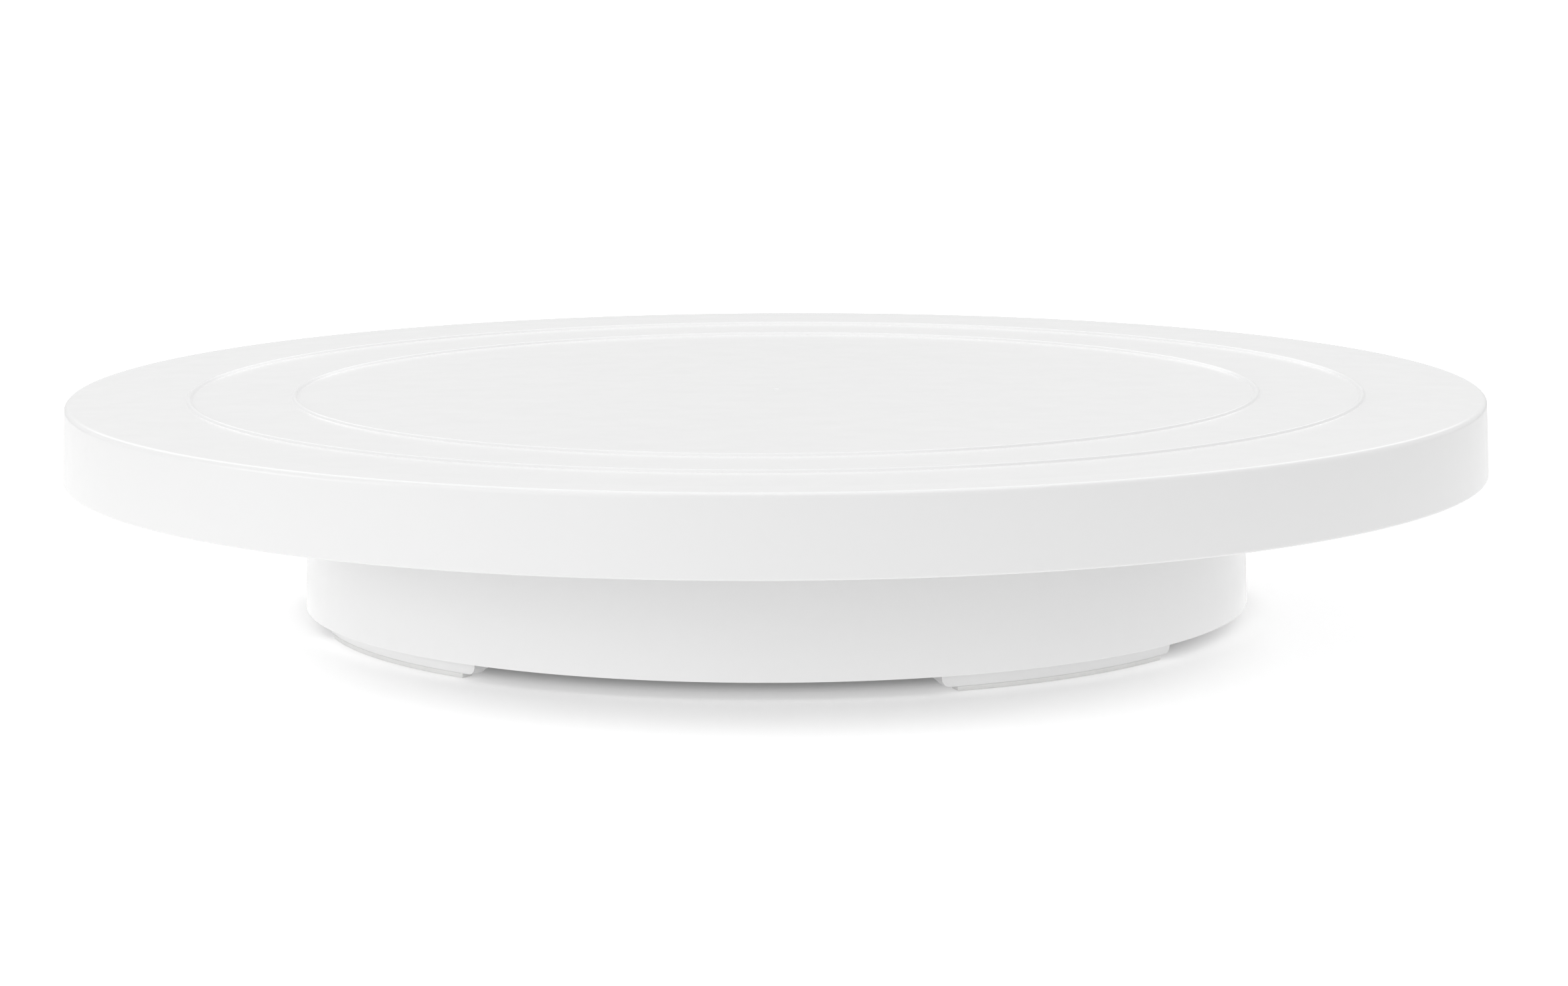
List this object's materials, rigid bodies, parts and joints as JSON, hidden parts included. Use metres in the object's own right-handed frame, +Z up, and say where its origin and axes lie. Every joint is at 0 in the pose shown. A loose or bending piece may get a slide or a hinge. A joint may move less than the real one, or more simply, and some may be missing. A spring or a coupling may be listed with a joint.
{
  "type": "lazy susan turntable",
  "caption": "Low round turntable: a flat plate with a skirt and raised rings spins on a ball bearing over a drum-shaped base with arc-shaped feet.",
  "frame": {"origin": "on the standing surface, on the spin axis", "axes": "+Z up along the spin axis; -Y through the middle of the base's front gap between two feet; the base is symmetric about X and Y"},
  "size_m": [0.28, 0.28, 0.0455],
  "materials": {
    "plate_plastic": "white moulded plastic with a soft gloss",
    "base_plastic": "white moulded plastic, satin to gloss",
    "pad_rubber": "matt white grip rubber",
    "cage_nylon": "natural nylon",
    "ball_steel": "polished bearing steel",
    "spindle_steel": "turned steel",
    "bush_acetal": "natural acetal",
    "fastener_steel": "bright zinc-plated steel"
  },
  "bodies": {
    "base": {"base_housing": "base_plastic", "spindle_bush": "bush_acetal", "thrust_washer": "bush_acetal", "foot_pad_front_left": "pad_rubber", "foot_pad_front_right": "pad_rubber", "foot_pad_rear_right": "pad_rubber", "foot_pad_rear_left": "pad_rubber"},
    "cage": {"ball_cage": "cage_nylon", "ball_01": "ball_steel", "ball_02": "ball_steel", "ball_03": "ball_steel", "ball_04": "ball_steel", "ball_05": "ball_steel", "ball_06": "ball_steel", "ball_07": "ball_steel", "ball_08": "ball_steel", "ball_09": "ball_steel", "ball_10": "ball_steel", "ball_11": "ball_steel", "ball_12": "ball_steel", "ball_13": "ball_steel", "ball_14": "ball_steel", "ball_15": "ball_steel", "ball_16": "ball_steel", "ball_17": "ball_steel", "ball_18": "ball_steel", "ball_19": "ball_steel", "ball_20": "ball_steel", "ball_21": "ball_steel", "ball_22": "ball_steel", "ball_23": "ball_steel", "ball_24": "ball_steel"},
    "turntable": {"turntable_plate": "plate_plastic", "spindle": "spindle_steel", "flat_washer": "fastener_steel", "retaining_screw": "fastener_steel"}
  },
  "joints": [
    {"name": "plate_spin", "type": "hinge", "parent": "base", "child": "turntable", "pos_m": [0, 0, 0], "axis": [0, 0, 1], "continuous": true},
    {"name": "cage_spin", "type": "hinge", "parent": "base", "child": "cage", "pos_m": [0, 0, 0], "axis": [0, 0, 1], "continuous": true}
  ],
  "couplings": [
    {"joint": "cage_spin", "follows": "plate_spin", "ratio": 0.5}
  ]
}
